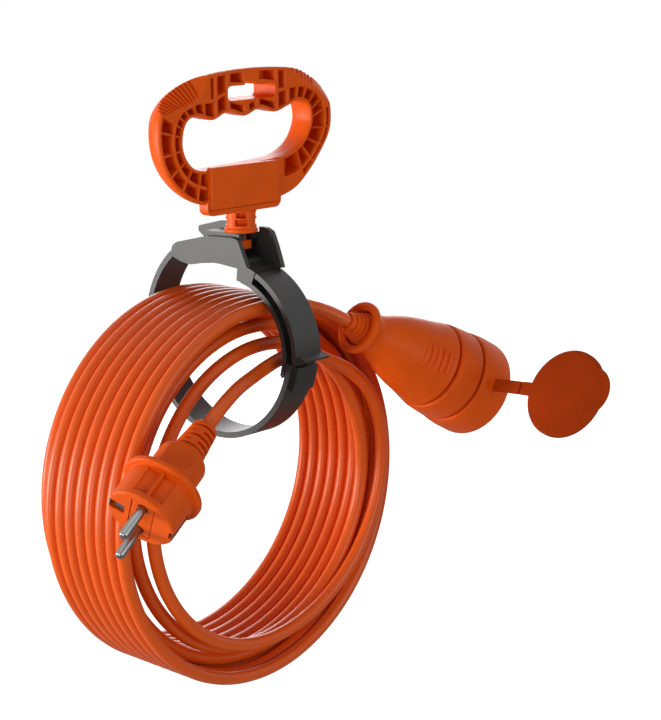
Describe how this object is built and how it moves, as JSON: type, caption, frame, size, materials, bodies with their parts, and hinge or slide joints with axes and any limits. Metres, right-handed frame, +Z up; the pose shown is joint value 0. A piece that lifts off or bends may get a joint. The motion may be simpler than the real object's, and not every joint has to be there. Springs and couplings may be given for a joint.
{
  "type": "extension cord",
  "caption": "Heavy-duty outdoor extension cord wound into a coil on a latching ring clip with a swivel carrying handle, with earthed plug and capped socket.",
  "frame": {"origin": "top centre of the centring notch in the handle's hang slot, on the swivel axis", "axes": "+Z up along the swivel axis, X along the handle's grip, Y along the axis of the wound coil with the plug and socket on the -Y side"},
  "size_m": [0.2929, 0.2227, 0.3298],
  "materials": {
    "orange_pp": "satin moulded polypropylene",
    "orange_rubber": "satin moulded PVC",
    "cord_sheath": "smooth extruded PVC sheath, satin",
    "black_pp": "fine matte texture",
    "steel": "plain",
    "nickel": "nickel plated",
    "brass": "plain"
  },
  "bodies": {
    "handle": {"handle_frame": "orange_pp", "name_plate": "orange_pp", "swivel_stem": "orange_pp"},
    "carrier": {"clip_body": "black_pp", "jaw_hinge_pin": "steel", "cord_coil": "cord_sheath", "cord_to_socket": "cord_sheath", "cord_to_plug": "cord_sheath", "plug_body": "orange_rubber", "plug_bend_relief": "orange_rubber", "plug_pin_bridge": "orange_pp", "plug_pin_a": "nickel", "plug_pin_b": "nickel", "plug_earth_contact_a": "nickel", "plug_earth_contact_b": "nickel", "socket_grip_body": "orange_rubber", "socket_bend_relief": "orange_rubber", "socket_collar": "orange_rubber", "socket_front_ring": "orange_rubber", "socket_insert": "orange_pp", "socket_contact_a": "brass", "socket_contact_b": "brass", "socket_earth_pin": "nickel"},
    "jaw": {"clip_jaw": "black_pp"},
    "latch": {"latch_arm": "black_pp"},
    "strap": {"cap_strap": "orange_rubber"},
    "cap": {"socket_cap": "orange_rubber"}
  },
  "joints": [
    {"name": "swivel", "type": "hinge", "parent": "handle", "child": "carrier", "pos_m": [0, 0, -0.0794], "axis": [0, 0, 1], "continuous": true},
    {"name": "jaw_hinge", "type": "hinge", "parent": "carrier", "child": "jaw", "pos_m": [0, 0.06357, -0.14545], "axis": [1, 0, 0], "range_deg": [0, 60]},
    {"name": "latch_flex", "type": "hinge", "parent": "carrier", "child": "latch", "pos_m": [0, -0.01926, -0.09912], "axis": [-1, 0, 0], "range_deg": [0, 8], "stiffness_Nm_per_rad": 0.6},
    {"name": "strap_root", "type": "hinge", "parent": "carrier", "child": "strap", "pos_m": [0.12188, -0.07915, -0.17168], "axis": [0.4933, 0.0324, 0.8693], "range_deg": [-40, 88]},
    {"name": "cap_fold", "type": "hinge", "parent": "strap", "child": "cap", "pos_m": [0.12037, -0.09763, -0.17014], "axis": [0.4933, 0.0324, 0.8693], "range_deg": [-30, 90]}
  ]
}
